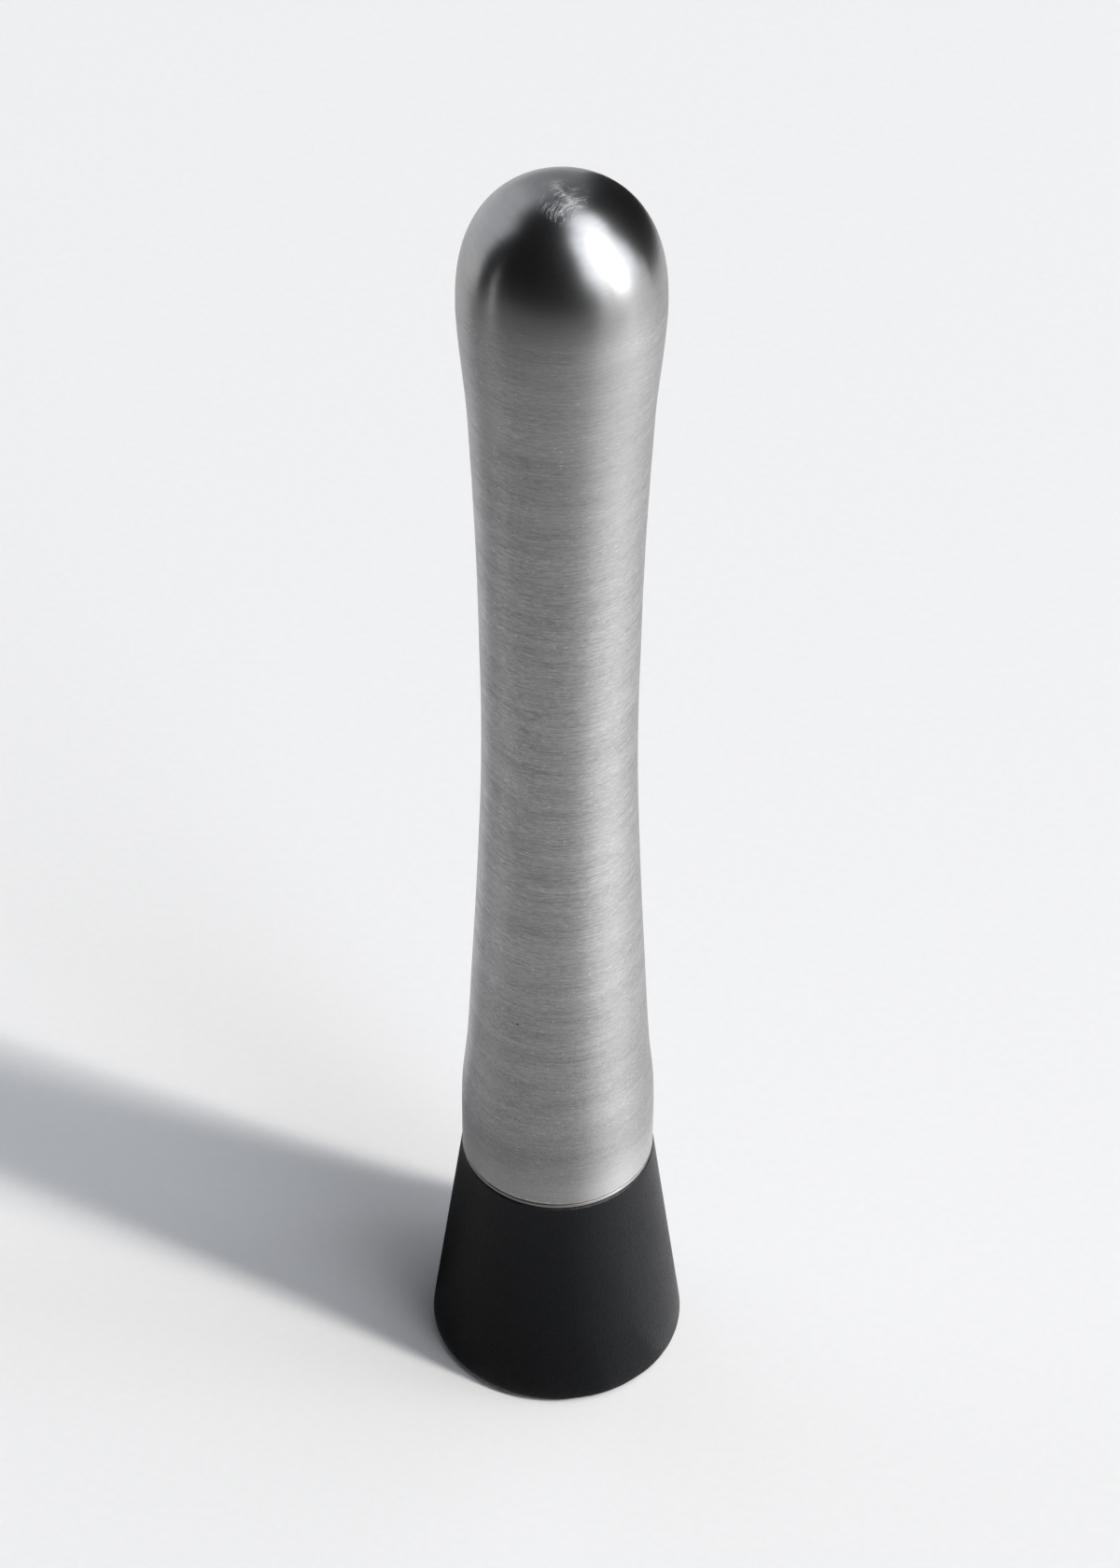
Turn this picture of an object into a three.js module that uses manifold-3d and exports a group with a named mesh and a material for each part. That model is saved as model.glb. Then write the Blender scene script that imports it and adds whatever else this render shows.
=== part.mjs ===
// Cocktail muddler: a hollow waisted steel handle that screws into a black toothed head.
// Millimetres, +Z up. It stands upright on its teeth: the floor is at height 0 and the axis is X = Y = 0.
import * as THREE from 'three';
import { mergeVertices } from 'three/addons/utils/BufferGeometryUtils.js';
import Module from 'manifold-3d';

// Overall sizes
const OVERALL_LENGTH = 225.5;
const HEAD_HEIGHT = 40.75;
const HEAD_BASE_RADIUS = 20.17; // where the cone's side line, carried down, meets the floor
const HEAD_PROUD = 0.1; // how far the head's top edge stands out past the handle's foot

// Handle outline: a straight foot, a waist, a bulb and a full dome
const FOOT_RADIUS = 14.95;
const FOOT_BAND = 9.2;
const WAIST_RADIUS = 11.42;
const WAIST_HEIGHT = 130;
const BULB_RADIUS = 14.41;
const DOME_HEIGHT = 18.5;
const DOME_FULLNESS = 2.5; // exponent of the dome's superellipse; 2 would be a plain ellipse
const WALL = 1;

// Stations between foot and waist, and waist and bulb: [share of the way up, share of the radius change]
const LOWER_TAPER = [[0.05, 0.035], [0.14, 0.22], [0.37, 0.507], [0.68, 0.83], [0.85, 0.958]];
const UPPER_FLARE = [
  [0.21, 0.066], [0.39, 0.15], [0.675, 0.43], [0.78, 0.567], [0.883, 0.803], [0.94, 0.925],
];

// Toothed working face: two crossed sets of grooves leave flat-topped teeth, one of them on the axis
const TOOTH_PITCH = 7.7;
const TOOTH_FLAT = 3.3;
const TOOTH_DEPTH = 1;
const TOOTH_TURN = THREE.MathUtils.degToRad(25);
const HEAD_EDGE_RADIUS = 1.3;
const HEAD_RIM_RADIUS = 0.4;

// Screwed joint: stud in the plug, insert in the head, washer squeezed between plug and head
const STUD_RADIUS = 3.6; // middle of the thread, with the thread form left plain
const STUD_REACH = 17;
const STUD_POINT = 1;
const INSERT_RADIUS = 6;
const INSERT_LENGTH = 15;
const INSERT_GROOVE_DEPTH = 0.6;
const INSERT_GROOVE_WIDTH = 3;
const INSERT_LEAD_IN = 0.6;
const RUN_OUT = 2.5; // free depth under the insert, or under the stud where that reaches lower
const WASHER_RADIUS = 8.5;
const WASHER_THICKNESS = 2.2;

// End plug that closes the handle's foot
const PLUG_RIM = 0.65;
const PLUG_SPIGOT = 6;
const PLUG_WALL = 1.4;
const PLUG_WEB = 2.2;
const PLUG_BOSS_RADIUS = 6.5;
const PLUG_BOSS_HEIGHT = 9;
const PLUG_CHAMFER = 0.6;

// Clearances
const JOINT_GAP = 0.25; // the dark line between the head and the steel rim
const SEAM = 0.15; // hairline between the steel rim and the handle's foot
const SEAT = 0.05; // between faces that rest on one another
const FIT = 0.1; // radial, between pieces that fit into one another
const WASHER_BORE_GAP = 0.7; // lets the washer pass over the thread's crests

// Facets
const BODY_STEPS = 64;
const SMALL_STEPS = 48;
const OUTER_POINTS = 28;
const INNER_POINTS = 14;
const OUTER_DOME_STEPS = 10;
const INNER_DOME_STEPS = 6;
const ARC_STEPS = 4;

// Heights that the pieces share
const plugBase = HEAD_HEIGHT + JOINT_GAP;
const handleBase = plugBase + PLUG_RIM + SEAM;
const domeBase = OVERALL_LENGTH - DOME_HEIGHT;
const washerTop = plugBase - SEAT;
const washerBase = washerTop - WASHER_THICKNESS;
const recessFloor = washerBase - SEAT;
const insertBase = recessFloor - INSERT_LENGTH;
const studTip = plugBase - STUD_REACH;

const wasm = await Module();
wasm.setup();

const FINISHES = {
  steel: { color: 0xb4b2b0, metalness: 1, roughness: 0.34 },
  brass: { color: 0xc49a4a, metalness: 1, roughness: 0.35 },
  nylon: { color: 0x18191b, metalness: 0, roughness: 0.62 },
  silicone: { color: 0x2a2b2d, metalness: 0, roughness: 0.7 },
};

function piece(name, geometry, finish) {
  const mesh = new THREE.Mesh(geometry, new THREE.MeshStandardMaterial(FINISHES[finish]));
  mesh.name = name;
  return mesh;
}

// Turns a profile of [radius, height] points about the Z axis.
function revolve(profile, steps) {
  const points = profile.map(([radius, height]) => new THREE.Vector2(radius, height));
  return new THREE.LatheGeometry(points, steps).rotateX(Math.PI / 2);
}

// Points of a round corner about a centre in the profile plane, turning anticlockwise.
function corner(centreRadius, centreHeight, radius, fromAngle, toAngle) {
  const arc = new THREE.EllipseCurve(centreRadius, centreHeight, radius, radius, fromAngle, toAngle);
  return arc.getPoints(ARC_STEPS).map((point) => [point.x, point.y]);
}

// A closed geometry as a solid that can be cut; collapsed triangles on a revolve's axis are dropped.
function solidOf(geometry) {
  const bare = geometry.clone();
  bare.deleteAttribute('normal');
  bare.deleteAttribute('uv');
  const merged = mergeVertices(bare);
  const corners = Array.from(merged.index.array);
  const triVerts = corners.filter((_, place) => {
    const first = place - (place % 3);
    const [a, b, c] = corners.slice(first, first + 3);
    return a !== b && b !== c && c !== a;
  });
  return new wasm.Manifold(new wasm.Mesh({
    numProp: 3,
    vertProperties: Float32Array.from(merged.attributes.position.array),
    triVerts: Uint32Array.from(triVerts),
  }));
}

function geometryOf(solid) {
  const mesh = solid.getMesh();
  const geometry = new THREE.BufferGeometry();
  geometry.setAttribute('position', new THREE.BufferAttribute(mesh.vertProperties, 3));
  geometry.setIndex(new THREE.BufferAttribute(mesh.triVerts, 1));
  geometry.computeVertexNormals();
  return geometry;
}

// Handle outline from the foot's edge to the apex, moved inwards by inset.
function handleOutline(inset, pointCount, domeSteps) {
  const bandTop = handleBase + FOOT_BAND;
  const between = (low, high, share) => low + (high - low) * share;
  const stations = [
    [FOOT_RADIUS, bandTop],
    ...LOWER_TAPER.map(([up, change]) => [
      between(FOOT_RADIUS, WAIST_RADIUS, change), between(bandTop, WAIST_HEIGHT, up),
    ]),
    [WAIST_RADIUS, WAIST_HEIGHT],
    ...UPPER_FLARE.map(([up, change]) => [
      between(WAIST_RADIUS, BULB_RADIUS, change), between(WAIST_HEIGHT, domeBase, up),
    ]),
    [BULB_RADIUS, domeBase],
  ];
  const grip = new THREE.CatmullRomCurve3(
    stations.map(([radius, height]) => new THREE.Vector3(radius - inset, 0, height)), false, 'centripetal',
  );
  const outline = [[FOOT_RADIUS - inset, handleBase]];
  outline.push(...grip.getSpacedPoints(pointCount).map((point) => [point.x, point.z]));
  const power = 2 / DOME_FULLNESS;
  for (let step = 1; step < domeSteps; step += 1) {
    const angle = (step / domeSteps) * (Math.PI / 2);
    outline.push([
      (BULB_RADIUS - inset) * Math.cos(angle) ** power,
      domeBase + (DOME_HEIGHT - inset) * Math.sin(angle) ** power,
    ]);
  }
  outline.push([0, OVERALL_LENGTH - inset]);
  return outline;
}

// Thin-walled handle, open at the foot: down the inside from the apex, across the edge, up the outside.
function handleShell() {
  const outside = handleOutline(0, OUTER_POINTS, OUTER_DOME_STEPS);
  const inside = handleOutline(WALL, INNER_POINTS, INNER_DOME_STEPS).reverse();
  return piece('handle_shell', revolve([...inside, ...outside], BODY_STEPS), 'steel');
}

// Turned plug: a rim flush with the foot, a hollow spigot inside the wall and a boss for the stud.
function endPlug() {
  const holeRadius = STUD_RADIUS + FIT;
  const rimTop = plugBase + PLUG_RIM;
  const spigotRadius = FOOT_RADIUS - WALL - FIT;
  const spigotTop = rimTop + PLUG_SPIGOT;
  const webTop = plugBase + PLUG_WEB;
  const bossTop = plugBase + PLUG_BOSS_HEIGHT;
  const profile = [
    [holeRadius, plugBase],
    [FOOT_RADIUS, plugBase],
    [FOOT_RADIUS, rimTop],
    [spigotRadius, rimTop],
    [spigotRadius, spigotTop - PLUG_CHAMFER],
    [spigotRadius - PLUG_CHAMFER, spigotTop],
    [spigotRadius - PLUG_WALL, spigotTop],
    [spigotRadius - PLUG_WALL, webTop],
    [PLUG_BOSS_RADIUS, webTop],
    [PLUG_BOSS_RADIUS, bossTop - PLUG_CHAMFER],
    [PLUG_BOSS_RADIUS - PLUG_CHAMFER, bossTop],
    [holeRadius, bossTop],
    [holeRadius, plugBase],
  ];
  return piece('end_plug', revolve(profile, BODY_STEPS), 'steel');
}

// Stud fixed in the plug's boss, reaching down into the head's insert.
function threadedStud() {
  const top = plugBase + PLUG_BOSS_HEIGHT;
  const profile = [
    [0, studTip],
    [STUD_RADIUS - STUD_POINT, studTip],
    [STUD_RADIUS, studTip + STUD_POINT],
    [STUD_RADIUS, top],
    [0, top],
  ];
  return piece('threaded_stud', revolve(profile, SMALL_STEPS), 'steel');
}

// Flat washer round the stud, in the head's top recess.
function sealWasher() {
  const boreRadius = STUD_RADIUS + WASHER_BORE_GAP;
  const profile = [
    [boreRadius, washerBase],
    [WASHER_RADIUS, washerBase],
    [WASHER_RADIUS, washerTop],
    [boreRadius, washerTop],
    [boreRadius, washerBase],
  ];
  return piece('seal_washer', revolve(profile, SMALL_STEPS), 'silicone');
}

// Brass insert with a locking groove round its middle and a lead-in at each end of its bore.
function threadInsert() {
  const boreRadius = STUD_RADIUS + FIT;
  const grooveRadius = INSERT_RADIUS - INSERT_GROOVE_DEPTH;
  const grooveBase = insertBase + (INSERT_LENGTH - INSERT_GROOVE_WIDTH) / 2;
  const grooveTop = grooveBase + INSERT_GROOVE_WIDTH;
  const profile = [
    [boreRadius + INSERT_LEAD_IN, insertBase],
    [INSERT_RADIUS, insertBase],
    [INSERT_RADIUS, grooveBase],
    [grooveRadius, grooveBase],
    [grooveRadius, grooveTop],
    [INSERT_RADIUS, grooveTop],
    [INSERT_RADIUS, recessFloor],
    [boreRadius + INSERT_LEAD_IN, recessFloor],
    [boreRadius, recessFloor - INSERT_LEAD_IN],
    [boreRadius, insertBase + INSERT_LEAD_IN],
    [boreRadius + INSERT_LEAD_IN, insertBase],
  ];
  return piece('thread_insert', revolve(profile, SMALL_STEPS), 'brass');
}

// Cone of the head with rounded edges and the stepped socket for washer, insert and stud.
function headBlank() {
  const topRadius = FOOT_RADIUS + HEAD_PROUD;
  const lean = Math.atan2(HEAD_BASE_RADIUS - topRadius, HEAD_HEIGHT);
  const edgeCentre = HEAD_BASE_RADIUS - HEAD_EDGE_RADIUS * Math.tan(Math.PI / 4 + lean / 2);
  const rimCentre = topRadius - HEAD_RIM_RADIUS * Math.tan(Math.PI / 4 - lean / 2);
  const rimHeight = HEAD_HEIGHT - HEAD_RIM_RADIUS;
  const recessRadius = WASHER_RADIUS + FIT;
  const socketRadius = INSERT_RADIUS + FIT;
  const socketFloor = insertBase - SEAT;
  const studWell = STUD_RADIUS + FIT + INSERT_LEAD_IN;
  const wellFloor = Math.min(studTip, socketFloor) - RUN_OUT;
  const profile = [
    [0, 0],
    ...corner(edgeCentre, HEAD_EDGE_RADIUS, HEAD_EDGE_RADIUS, -Math.PI / 2, lean),
    ...corner(rimCentre, rimHeight, HEAD_RIM_RADIUS, lean, Math.PI / 2),
    [recessRadius, HEAD_HEIGHT],
    [recessRadius, recessFloor],
    [socketRadius, recessFloor],
    [socketRadius, socketFloor],
    [studWell, socketFloor],
    [studWell, wellFloor],
    [0, wellFloor],
  ];
  return solidOf(revolve(profile, BODY_STEPS));
}

// One straight groove across the working face, at an offset from the axis and a turn about it.
// Its sides carry on below the floor so that the cut passes clean through.
function toothGroove(offset, turn) {
  const halfWidth = (TOOTH_PITCH - TOOTH_FLAT) / 2;
  const below = TOOTH_DEPTH;
  const halfWidthBelow = halfWidth * (1 + below / TOOTH_DEPTH);
  const section = new THREE.Shape([
    new THREE.Vector2(-halfWidthBelow, -below),
    new THREE.Vector2(halfWidthBelow, -below),
    new THREE.Vector2(0, TOOTH_DEPTH),
  ]);
  const length = 3 * HEAD_BASE_RADIUS;
  const groove = new THREE.ExtrudeGeometry(section, { depth: length, bevelEnabled: false });
  groove.translate(offset, 0, -length / 2).rotateX(Math.PI / 2).rotateZ(turn);
  return solidOf(groove);
}

// Head with both sets of grooves cut across its working face.
function muddlingHead() {
  let head = headBlank();
  for (const turn of [TOOTH_TURN, TOOTH_TURN + Math.PI / 2]) {
    for (let offset = TOOTH_PITCH / 2; offset < HEAD_BASE_RADIUS; offset += TOOTH_PITCH) {
      head = head.subtract(toothGroove(offset, turn)).subtract(toothGroove(-offset, turn));
    }
  }
  return piece('muddling_head', geometryOf(head), 'nylon');
}

const muddler = new THREE.Group();
muddler.add(muddlingHead(), threadInsert(), sealWasher(), threadedStud(), endPlug(), handleShell());

export default muddler;
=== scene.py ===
# %% [markdown]
# # A cocktail muddler, built as a lesson
# A muddler crushes fruit and herbs in the bottom of a glass. This one is a hollow brushed steel handle that
# screws into a black moulded head, and it stands on the head's toothed face. The measured model gives every
# size and place, so it is loaded first. The cells after it make one piece, one finish or one light each.

# %% Load the measured model
import math

import bpy
import numpy as np
from mathutils import Matrix, Vector


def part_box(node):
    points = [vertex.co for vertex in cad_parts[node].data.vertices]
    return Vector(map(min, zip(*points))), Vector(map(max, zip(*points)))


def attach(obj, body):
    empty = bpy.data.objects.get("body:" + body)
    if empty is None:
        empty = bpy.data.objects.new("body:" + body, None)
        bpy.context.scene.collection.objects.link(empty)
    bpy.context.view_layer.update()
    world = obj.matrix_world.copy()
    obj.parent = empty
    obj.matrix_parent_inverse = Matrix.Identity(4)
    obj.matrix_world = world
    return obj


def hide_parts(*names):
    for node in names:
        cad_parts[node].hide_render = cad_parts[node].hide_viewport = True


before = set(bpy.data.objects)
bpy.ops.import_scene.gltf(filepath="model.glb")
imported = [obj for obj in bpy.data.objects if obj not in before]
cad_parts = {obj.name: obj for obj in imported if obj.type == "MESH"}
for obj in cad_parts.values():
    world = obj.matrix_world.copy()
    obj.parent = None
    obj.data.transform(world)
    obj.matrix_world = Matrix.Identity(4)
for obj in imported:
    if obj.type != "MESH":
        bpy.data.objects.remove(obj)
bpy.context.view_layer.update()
MM = 0.001


def corners_of(node):
    """Lowest and highest corner of a measured piece, in millimetres."""
    low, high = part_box(node)
    return np.array(low) / MM, np.array(high) / MM


print("measured pieces:", ", ".join(sorted(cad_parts)))

# %% [markdown]
# ## Camera
# The photograph looks down on the muddler from the front through a long lens. The lens, the place and the
# slight roll were solved from the outline of the object, so they are written here as plain numbers. A guess
# by eye would do for a loose likeness, but then no edge could be compared with the photograph.

# %% Set up the camera
PHOTO_HEIGHT = 1680
FOCAL_PIXELS = 5487.3
CAMERA_PLACE = Vector((0.0987, -546.36, 635.04)) * MM
CAMERA_DIP = math.radians(43.45)
CAMERA_ROLL = math.radians(0.2927)

lens = bpy.data.cameras.new("photo_camera")
lens.sensor_width = 36
lens.lens = lens.sensor_width * FOCAL_PIXELS / PHOTO_HEIGHT
lens.clip_start = 0.01
camera = bpy.data.objects.new("photo_camera", lens)
bpy.context.scene.collection.objects.link(camera)
camera.matrix_world = (
    Matrix.Translation(CAMERA_PLACE)
    @ Matrix.Rotation(math.pi / 2 - CAMERA_DIP, 4, "X")
    @ Matrix.Rotation(CAMERA_ROLL, 4, "Z")
)
bpy.context.scene.camera = camera
print(f"camera with a {lens.lens:.1f} mm lens")

# %% [markdown]
# ## From rings to a mesh
# Every piece of a muddler is round: it is turned, spun or moulded about one axis. Blender's Spin tool could
# sweep a profile, but here each piece is a stack of rings worked out as one array, so that a thread or a
# tooth can move single points of a ring. The helpers join ring to ring with quads, close the ends with fans
# round a pole, and lay a UV map whose U runs round the axis. The brushed finish needs that direction later.

# %% Faces between rings
def next_point(ring):
    """Each point's neighbour along its ring."""
    return np.roll(ring, -1, axis=-1)


def share_along(path):
    """How far along a path each of its points lies, as a share of the whole length."""
    along = np.concatenate([[0], np.cumsum(np.linalg.norm(np.diff(path, axis=0), axis=1))])
    return along / along[-1]


def wall_faces(lower, upper, v_lower, v_upper):
    """Quads from each lower ring to its upper ring, with each corner's UV: U round the ring, V along."""
    steps = lower.shape[1]
    turn = np.arange(steps + 1) / steps
    quads = np.stack([lower, next_point(lower), next_point(upper), upper], axis=-1)
    u, v = np.meshgrid(turn[:-1], v_lower)
    u_next, v_next = np.meshgrid(turn[1:], v_upper)
    uv = np.stack([u, v, u_next, v, u_next, v_next, u, v_next], axis=-1)
    return quads.reshape(-1, 4), uv.reshape(-1, 2)


def fan_faces(first, last, first_pole, last_pole, v_first, v_last):
    """Triangles from the first ring down to its pole and from the last ring up to its own, with their UV."""
    steps = len(first)
    start, end = np.arange(steps) / steps, np.arange(1, steps + 1) / steps
    middle = (start + end) / 2
    low, high = np.full(steps, v_first), np.full(steps, v_last)
    fans = np.concatenate([
        np.stack([np.full(steps, first_pole), next_point(first), first], axis=-1),
        np.stack([last, next_point(last), np.full(steps, last_pole)], axis=-1),
    ])
    uv = np.concatenate([
        np.stack([middle, 0 * low, end, low, start, low], axis=-1),
        np.stack([start, high, end, high, middle, 0 * high + 1], axis=-1),
    ])
    return fans, uv.reshape(-1, 2)


print("helpers for the faces between rings")

# %% Mesh of a ring piece
SHARP_ANGLE = math.radians(38)


def ring_piece(name, rings, poles=None):
    """Closed mesh through rings[i, j], point j of ring i, in millimetres.

    A quad joins points j and j + 1 of ring i to the same points of ring i + 1. With poles, a fan closes each
    end. Without them the last ring joins the first, as in a washer.
    """
    rows, steps, _ = rings.shape
    places = np.arange(rows * steps).reshape(rows, steps)
    points = rings.reshape(-1, 3)
    if poles is None:
        along = share_along(np.concatenate([rings[:, 0], rings[:1, 0]]))
        quads, uv = wall_faces(places, np.roll(places, -1, axis=0), along[:-1], along[1:])
        faces = quads.tolist()
    else:
        along = share_along(np.concatenate([poles[:1], rings[:, 0], poles[1:]]))
        quads, wall_uv = wall_faces(places[:-1], places[1:], along[1:-2], along[2:-1])
        fans, fan_uv = fan_faces(places[0], places[-1], len(points), len(points) + 1, along[1], along[-2])
        faces = quads.tolist() + fans.tolist()
        uv = np.concatenate([wall_uv, fan_uv])
        points = np.concatenate([points, poles])
    mesh = bpy.data.meshes.new(name)
    mesh.from_pydata((points * MM).tolist(), [], faces)
    mesh.uv_layers.new(name="around_and_along").data.foreach_set("uv", uv.ravel())
    mesh.polygons.foreach_set("use_smooth", np.ones(len(faces), bool))
    mesh.set_sharp_from_angle(angle=SHARP_ANGLE)
    piece = bpy.data.objects.new(name, mesh)
    bpy.context.scene.collection.objects.link(piece)
    print(f"{name}: {rows} rings of {steps} points, {len(faces)} faces")
    return piece


print(f"edges over {math.degrees(SHARP_ANGLE):.0f} degrees stay sharp")

# %% Turned and rounded profiles
def angles_round(steps):
    """Evenly spaced angles once round the axis."""
    return 2 * np.pi * np.arange(steps) / steps


def rings_of(radius, height, steps):
    """Rings from an array of radii, one row for each height and one column for each angle."""
    angle = angles_round(steps)
    height = np.broadcast_to(height, radius.shape)
    return np.stack([radius * np.cos(angle), radius * np.sin(angle), height], axis=-1)


def turned(profile, steps):
    """Rings of a turned piece: ring i is (r cos a, r sin a, z) of profile point i at even angles a."""
    radius, height = np.asarray(profile, float).T
    return rings_of(np.repeat(radius[:, None], steps, axis=1), height[:, None], steps)


def eased(corners, ease, closed=False, steps=5):
    """Profile with its corners rounded.

    A corner P with neighbours one ease away at P + a and P + b becomes the parabola
    P + (1 - t)^2 a + t^2 b, with one more point beyond each end so that the flats beside it stay flat.
    """
    point = np.asarray(corners, float)
    longest_share, support = 0.45, 1.1

    def reach(side):
        length = np.linalg.norm(side, axis=1, keepdims=True)
        return side / length * np.minimum(ease, longest_share * length)

    a = reach(np.roll(point, 1, axis=0) - point)[:, None]
    b = reach(np.roll(point, -1, axis=0) - point)[:, None]
    t = np.linspace(0, 1, steps)[:, None]
    middle = point[:, None]
    curve = middle + (1 - t) ** 2 * a + t**2 * b
    blocks = np.concatenate([middle + support * a, curve, middle + support * b], axis=1)
    if closed:
        return blocks.reshape(-1, 2)
    return np.concatenate([point[:1], blocks[1:-1].reshape(-1, 2), point[-1:]])


def pole(height):
    """Point on the axis at a height."""
    return [0.0, 0.0, height]


print("helpers for turned and rounded profiles")

# %% [markdown]
# ## Handle
# The handle is a thin steel tube: a short straight foot, a long waisted grip and a bulb that is spun closed
# over the top. A subdivision surface over a coarse tube would look alike, but its outline would drift from
# the measured one. So the outline is drawn as a curve through measured stations, with each station's slope
# taken from its neighbours, and the dome is a superellipse, a little fuller than half an egg.

# %% Outline of the handle
shell_low, shell_high = corners_of("handle_shell")
FOOT_RADIUS, HANDLE_BASE, APEX = shell_high[0], shell_low[2], shell_high[2]
FOOT_BAND = 9.2
WAIST_RADIUS, WAIST_HEIGHT = 11.42, 130.0
BULB_RADIUS, DOME_HEIGHT, DOME_FULLNESS = 14.41, 18.5, 2.5
WALL = 1.0
# Stations as [share of the way up, share of the radius change], foot to waist and waist to bulb
LOWER_TAPER = [[0.05, 0.035], [0.14, 0.22], [0.37, 0.507], [0.68, 0.83], [0.85, 0.958]]
UPPER_FLARE = [[0.21, 0.066], [0.39, 0.15], [0.675, 0.43], [0.78, 0.567], [0.883, 0.803], [0.94, 0.925]]
BAND_TOP = HANDLE_BASE + FOOT_BAND
DOME_BASE = APEX - DOME_HEIGHT


def stretch(shares, low, high):
    """Stations between two (radius, height) ends: each end value plus its share of the difference."""
    up, change = np.array(shares).T
    return np.stack([low[0] + (high[0] - low[0]) * change, low[1] + (high[1] - low[1]) * up], axis=1)


def grip_radius(height):
    """Radius of the grip at a height: the cubic through the two nearest stations that has their slopes."""
    foot, waist, bulb = (FOOT_RADIUS, BAND_TOP), (WAIST_RADIUS, WAIST_HEIGHT), (BULB_RADIUS, DOME_BASE)
    stations = np.concatenate([
        [(FOOT_RADIUS, HANDLE_BASE), (FOOT_RADIUS, (HANDLE_BASE + BAND_TOP) / 2), foot],
        stretch(LOWER_TAPER, foot, waist), [waist], stretch(UPPER_FLARE, waist, bulb), [bulb],
    ])
    radius, level = stations.T
    slope = np.gradient(radius, level)
    slope[-1] = 0
    k = np.clip(np.searchsorted(level, height) - 1, 0, len(level) - 2)
    span = level[k + 1] - level[k]
    t = (height - level[k]) / span
    return (
        (2 * t**3 - 3 * t**2 + 1) * radius[k] + (t**3 - 2 * t**2 + t) * span * slope[k]
        + (3 * t**2 - 2 * t**3) * radius[k + 1] + (t**3 - t**2) * span * slope[k + 1]
    )


def dome(inset, count):
    """Superellipse dome between its base and apex: r = R cos(a)^(2/n), z = H sin(a)^(2/n)."""
    angle = np.linspace(0, np.pi / 2, count + 2)[1:-1]
    power = 2 / DOME_FULLNESS
    radius = (BULB_RADIUS - inset) * np.cos(angle) ** power
    height = DOME_BASE + (DOME_HEIGHT - inset) * np.sin(angle) ** power
    return np.stack([radius, height], axis=1)


print(f"handle radii in mm: foot {FOOT_RADIUS:.2f}, waist {WAIST_RADIUS}, bulb {BULB_RADIUS}")

# %% Handle shell
FOOT_EASE, FOOT_MARGIN = 0.1, 0.3
SHELL_STEPS = 176
OUTSIDE_ROWS, INSIDE_ROWS = (290, 70), (30, 10)


def shell_side(inset, rows):
    """One side of the wall, foot to apex: the grip moved in by inset, then the dome, with rows for each."""
    grip_rows, dome_rows = rows
    levels = np.linspace(HANDLE_BASE + FOOT_MARGIN, DOME_BASE, grip_rows)
    grip = np.stack([grip_radius(levels) - inset, levels], axis=1)
    return np.concatenate([grip, dome(inset, dome_rows)])


outside = shell_side(0, OUTSIDE_ROWS)
inside = shell_side(WALL, INSIDE_ROWS)
foot_edge = eased(
    [inside[0], (FOOT_RADIUS - WALL, HANDLE_BASE), (FOOT_RADIUS, HANDLE_BASE), outside[0]], FOOT_EASE
)
shell_profile = np.concatenate([inside[::-1], foot_edge[1:-1], outside])
handle_shell = ring_piece(
    "spun_handle", turned(shell_profile, SHELL_STEPS), np.array([pole(APEX - WALL), pole(APEX)])
)

# %% [markdown]
# ## End plug
# A turned steel plug closes the foot. Only its rim shows, as the bright line under a hairline seam, until
# the head is screwed off. A plain disc would look the same from outside, but the rim's softened edges are
# what catch the light, so the profile is rounded at every corner before it is turned.

# %% End plug
plug_low, plug_high = corners_of("end_plug")
PLUG_BASE, BOSS_TOP = plug_low[2], plug_high[2]
PLUG_RIM, PLUG_SPIGOT, PLUG_WALL, PLUG_WEB = 0.52, 6.0, 1.4, 2.2
BOSS_RADIUS, PLUG_CHAMFER, PLUG_FIT = 6.5, 0.6, 0.1
DISH_START, DISH_END, DISH_SLOPE, DISH_DEPTH = 9.2, 12.9, 0.3, 0.35
PLUG_EASE, PLUG_STEPS = 0.09, 160
STUD_RADIUS = corners_of("threaded_stud")[1][0]
spigot_radius = FOOT_RADIUS - WALL - PLUG_FIT
rim_top = PLUG_BASE + PLUG_RIM
spigot_top = rim_top + PLUG_SPIGOT
web_top = PLUG_BASE + PLUG_WEB
dish = PLUG_BASE + DISH_DEPTH
hole_radius = STUD_RADIUS + PLUG_FIT
plug_profile = eased([
    (hole_radius, PLUG_BASE), (DISH_START, PLUG_BASE), (DISH_START + DISH_SLOPE, dish),
    (DISH_END - DISH_SLOPE, dish), (DISH_END, PLUG_BASE), (FOOT_RADIUS, PLUG_BASE),
    (FOOT_RADIUS, rim_top), (spigot_radius, rim_top),
    (spigot_radius, spigot_top - PLUG_CHAMFER), (spigot_radius - PLUG_CHAMFER, spigot_top),
    (spigot_radius - PLUG_WALL, spigot_top), (spigot_radius - PLUG_WALL, web_top),
    (BOSS_RADIUS, web_top), (BOSS_RADIUS, BOSS_TOP - PLUG_CHAMFER),
    (BOSS_RADIUS - PLUG_CHAMFER, BOSS_TOP), (hole_radius, BOSS_TOP),
], PLUG_EASE, closed=True)
end_plug = ring_piece("turned_end_plug", turned(plug_profile, PLUG_STEPS))

# %% [markdown]
# ## Thread
# The stud carries an M8 thread of 1.25 mm pitch. A bump map could fake it, but the thread comes into view
# when the head is screwed off, and its outline has to be notched. One function gives the thread's radius at
# any angle and height: a trapezoid wave of the height, shifted by one pitch a turn. The insert uses the same
# function with a small clearance, so the two stay in mesh along the whole screw motion.

# %% Thread form
PITCH = 1.25
CREST_RADIUS, ROOT_RADIUS = 3.95, 3.24
CREST_SHARE, ROOT_SHARE = 0.14, 0.2


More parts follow.
